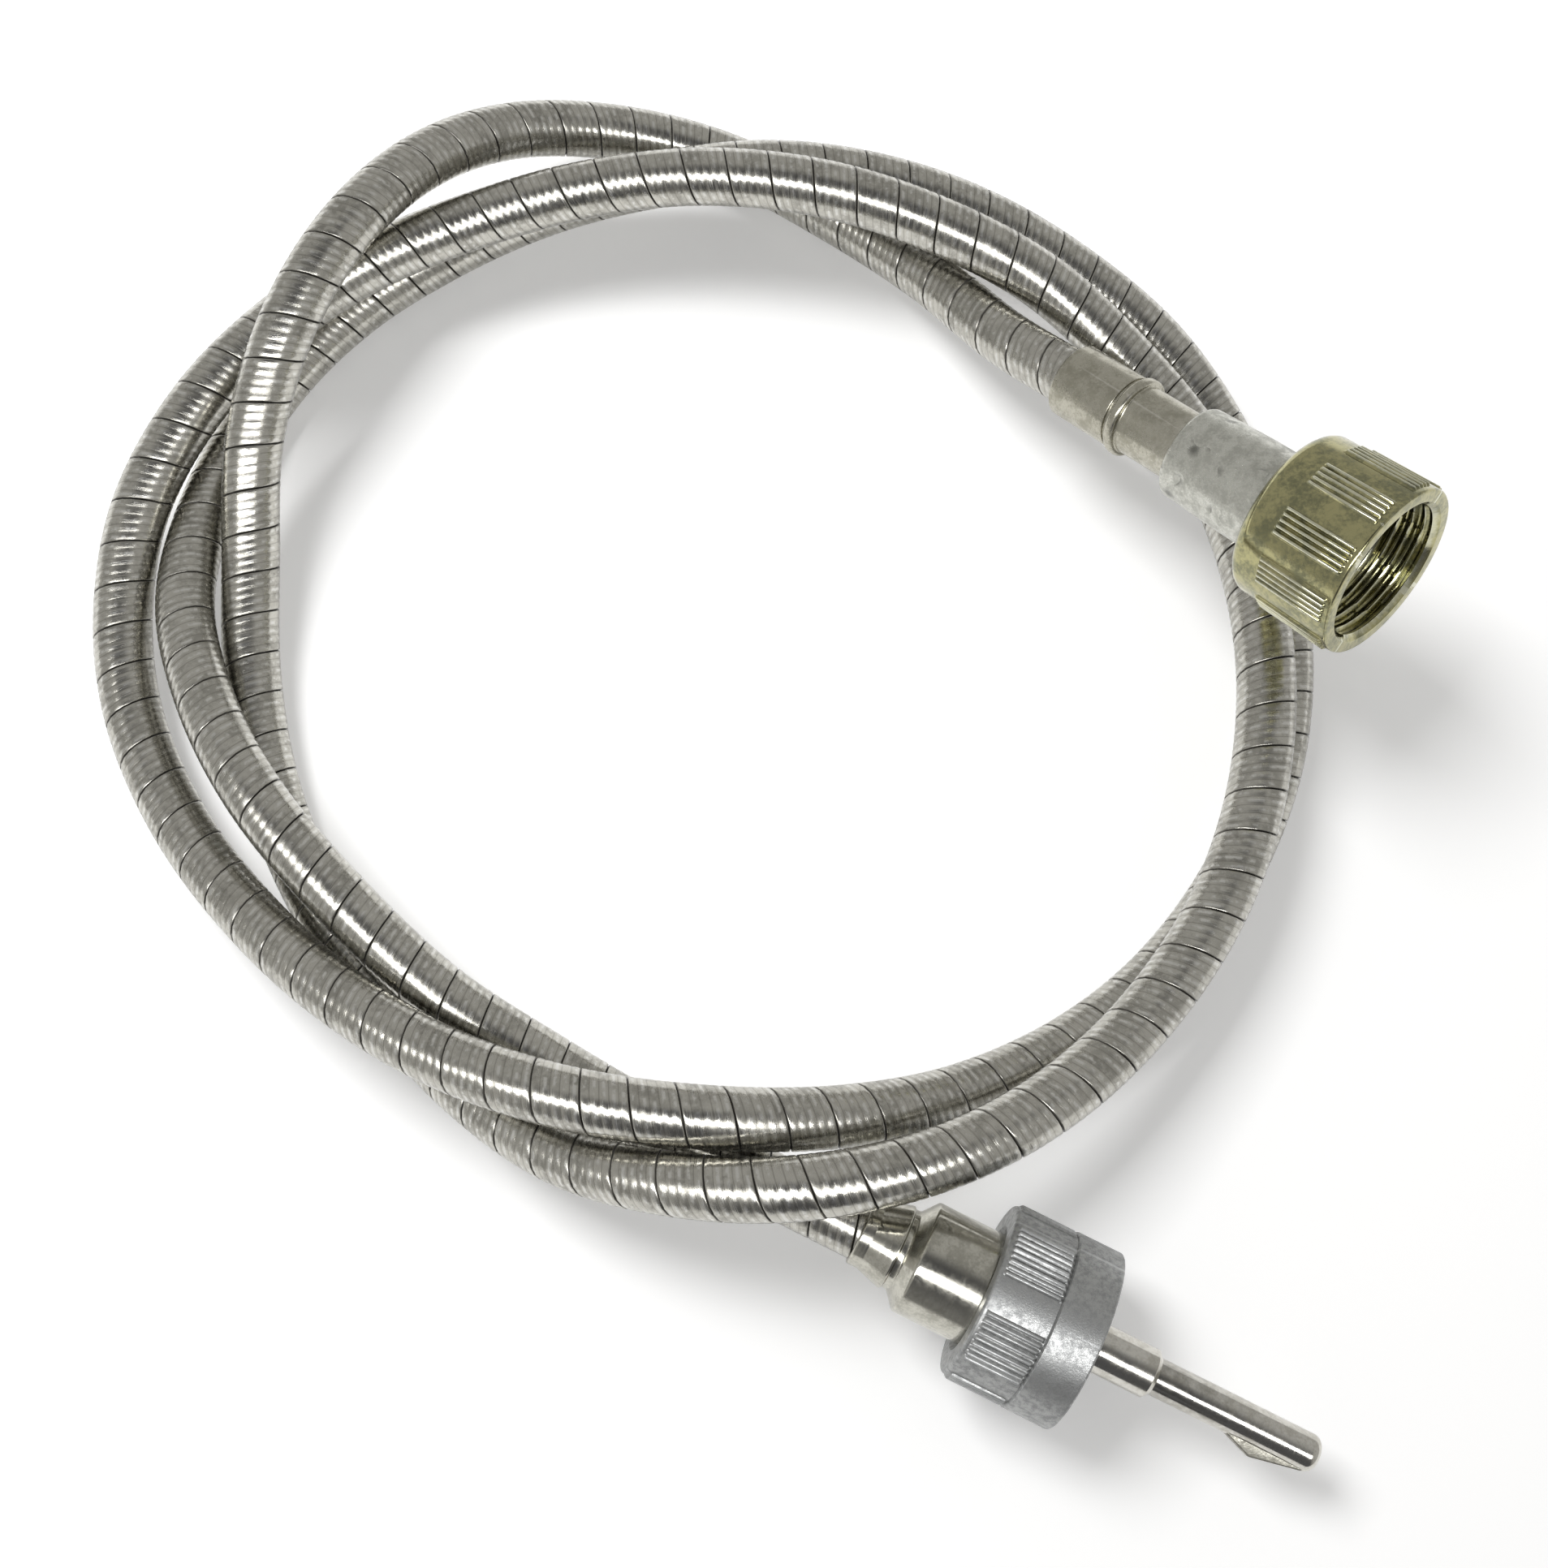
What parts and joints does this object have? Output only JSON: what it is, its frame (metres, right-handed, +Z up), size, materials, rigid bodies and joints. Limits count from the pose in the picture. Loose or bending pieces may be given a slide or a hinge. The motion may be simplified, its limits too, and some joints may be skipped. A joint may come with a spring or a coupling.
{
  "type": "instrument drive cable",
  "caption": "Coiled mechanical drive cable: wound steel casing over a turning core, threaded knurled coupling nuts at both ends and a keyed drive pin.",
  "frame": {"origin": "under the middle of the coil's bounding box, on the surface that it lies on", "axes": "+Z up from that surface; the drive end lies towards -Y and the instrument end towards +X"},
  "size_m": [0.1582, 0.1698, 0.0407],
  "materials": {
    "casing_steel": "bright galvanised wound wire, satin with a sharp sheen along each turn",
    "liner": "dark smooth nylon tube",
    "core_steel": "wound spring steel, lightly greased",
    "ferrule_steel": "dull plated steel with tool marks",
    "spigot_zinc": "matt die-cast zinc, mottled",
    "bush_bronze": "sintered bronze, oiled",
    "felt": "grey-brown oiled felt",
    "spring_steel": "dark phosphated spring steel",
    "washer_steel": "bright zinc-plated steel",
    "pin_steel": "polished ground steel",
    "seal_rubber": "black nitrile rubber, matt",
    "nut_gold": "yellow-passivated zinc plating, glossy, olive and gold",
    "ferrule_nickel": "bright nickel plating with a warm tint",
    "nut_zinc": "matt grey die-cast zinc, sandy"
  },
  "bodies": {
    "casing": {"casing_armour": "casing_steel", "casing_liner": "liner", "drive_core": "core_steel", "instrument_ferrule": "ferrule_steel", "instrument_spigot": "spigot_zinc", "instrument_bush": "bush_bronze", "instrument_felt": "felt", "instrument_snap_ring": "spring_steel", "instrument_seal": "seal_rubber", "drive_ferrule": "ferrule_nickel", "drive_bush": "bush_bronze", "drive_felt": "felt", "drive_snap_ring": "spring_steel", "drive_seal": "seal_rubber"},
    "instrument_nut_washer": {"instrument_nut_washer": "washer_steel"},
    "instrument_nut": {"instrument_nut": "nut_gold"},
    "instrument_thrust_washer": {"instrument_thrust_washer": "washer_steel"},
    "instrument_square_drive": {"instrument_square_drive": "pin_steel"},
    "drive_nut_washer": {"drive_nut_washer": "washer_steel"},
    "drive_nut": {"drive_nut": "nut_zinc"},
    "drive_thrust_washer": {"drive_thrust_washer": "washer_steel"},
    "drive_tip": {"drive_tip": "pin_steel"}
  },
  "joints": [
    {"name": "instrument_nut_slide", "type": "slide", "parent": "casing", "child": "instrument_nut_washer", "axis": [0.6528, -0.676, 0.342], "range_m": [-0.005, 0]},
    {"name": "instrument_nut_spin", "type": "hinge", "parent": "instrument_nut_washer", "child": "instrument_nut", "pos_m": [0.06635, 0.01423, 0.02854], "axis": [0.6528, -0.676, 0.342], "continuous": true},
    {"name": "drive_nut_slide", "type": "slide", "parent": "casing", "child": "drive_nut_washer", "axis": [0.8982, -0.4381, -0.0349], "range_m": [-0.006, 0]},
    {"name": "drive_nut_spin", "type": "hinge", "parent": "drive_nut_washer", "child": "drive_nut", "pos_m": [0.03173, -0.06839, 0.01039], "axis": [0.8982, -0.4381, -0.0349], "continuous": true},
    {"name": "core_float", "type": "slide", "parent": "casing", "child": "drive_thrust_washer", "axis": [0.8982, -0.4381, -0.0349], "range_m": [-0.001, 0.001]},
    {"name": "core_spin", "type": "hinge", "parent": "drive_thrust_washer", "child": "drive_tip", "pos_m": [0.04943, -0.07702, 0.0097], "axis": [0.8982, -0.4381, -0.0349], "continuous": true},
    {"name": "instrument_float", "type": "slide", "parent": "casing", "child": "instrument_thrust_washer", "axis": [0.6528, -0.676, 0.342], "range_m": [-0.001, 0.001]},
    {"name": "instrument_spin", "type": "hinge", "parent": "instrument_thrust_washer", "child": "instrument_square_drive", "pos_m": [0.064, 0.01667, 0.02731], "axis": [0.6528, -0.676, 0.342], "continuous": true}
  ],
  "couplings": [
    {"joint": "instrument_spin", "follows": "core_spin", "ratio": -1},
    {"joint": "instrument_float", "follows": "core_float", "ratio": -1}
  ]
}
